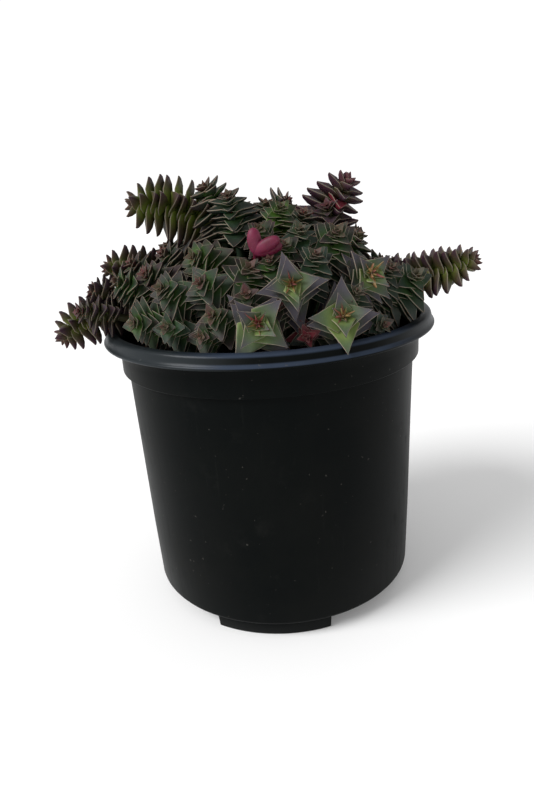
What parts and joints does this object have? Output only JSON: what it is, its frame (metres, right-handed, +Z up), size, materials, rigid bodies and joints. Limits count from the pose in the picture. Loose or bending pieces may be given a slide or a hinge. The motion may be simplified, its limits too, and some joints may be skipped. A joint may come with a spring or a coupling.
{
  "type": "potted succulent",
  "caption": "Potted red pagoda crassula: stems of crossed three-cornered leaves, stacked like pagodas, in a black plastic nursery pot.",
  "frame": {"origin": "on the ground, under the pot's axis and at the middle of the whole object's outline", "axes": "+Z up the pot's axis, -Y to the plant's front, +X to the right seen from the front"},
  "size_m": [0.2029, 0.165, 0.2151],
  "materials": {
    "pot": "satin black moulded plastic",
    "soil": "rough dark potting mix",
    "leaf_dark": "matt olive and purple-brown leaves with pale edges",
    "leaf_light": "matt yellow-green leaves with mauve tips and pale edges",
    "leaf_maroon": "matt maroon leaves with pale edges",
    "leaf_red": "waxy magenta red leaves"
  },
  "bodies": {
    "root": {"pot": "pot", "soil": "soil", "stem_arm_left_high": "leaf_maroon", "stem_arm_left_low": "leaf_maroon", "stem_arm_left_mid": "leaf_maroon", "stem_arm_right": "leaf_maroon", "stem_arm_top_right": "leaf_maroon", "stem_back_1_1": "leaf_dark", "stem_back_1_2": "leaf_dark", "stem_back_1_3": "leaf_dark", "stem_back_1_4": "leaf_dark", "stem_back_1_5": "leaf_dark", "stem_back_1_6": "leaf_dark", "stem_back_1_7": "leaf_dark", "stem_back_2_1": "leaf_dark", "stem_back_2_2": "leaf_dark", "stem_back_2_3": "leaf_dark", "stem_back_2_4": "leaf_dark", "stem_back_2_5": "leaf_dark", "stem_back_2_6": "leaf_dark", "stem_back_3_1": "leaf_dark", "stem_back_3_2": "leaf_dark", "stem_back_3_3": "leaf_dark", "stem_back_3_4": "leaf_dark", "stem_back_4_1": "leaf_dark", "stem_back_4_2": "leaf_dark", "stem_front_left": "leaf_light", "stem_front_middle": "leaf_light", "stem_front_red": "leaf_dark", "stem_front_right": "leaf_light", "stem_left_bend": "leaf_maroon", "stem_left_brown": "leaf_dark", "stem_left_dark": "leaf_dark", "stem_left_fold": "leaf_dark", "stem_left_green": "leaf_dark", "stem_left_inner": "leaf_dark", "stem_left_rose": "leaf_dark", "stem_middle_blue": "leaf_dark", "stem_middle_lines": "leaf_dark", "stem_middle_square": "leaf_dark", "stem_red": "leaf_red", "stem_right_dark": "leaf_dark", "stem_right_edge": "leaf_dark", "stem_right_fan": "leaf_dark", "stem_right_grey": "leaf_dark", "stem_right_high": "leaf_light", "stem_right_square": "leaf_dark", "stem_rim_inner_left": "leaf_dark", "stem_rim_left": "leaf_dark", "stem_rim_low_right": "leaf_dark", "stem_rim_star": "leaf_dark", "stem_top_fins": "leaf_dark", "stem_top_layers": "leaf_dark", "stem_top_left": "leaf_dark", "stem_top_middle": "leaf_dark", "stem_top_red": "leaf_maroon", "stem_top_small": "leaf_dark", "stem_top_yellow": "leaf_dark"}
  },
  "joints": []
}
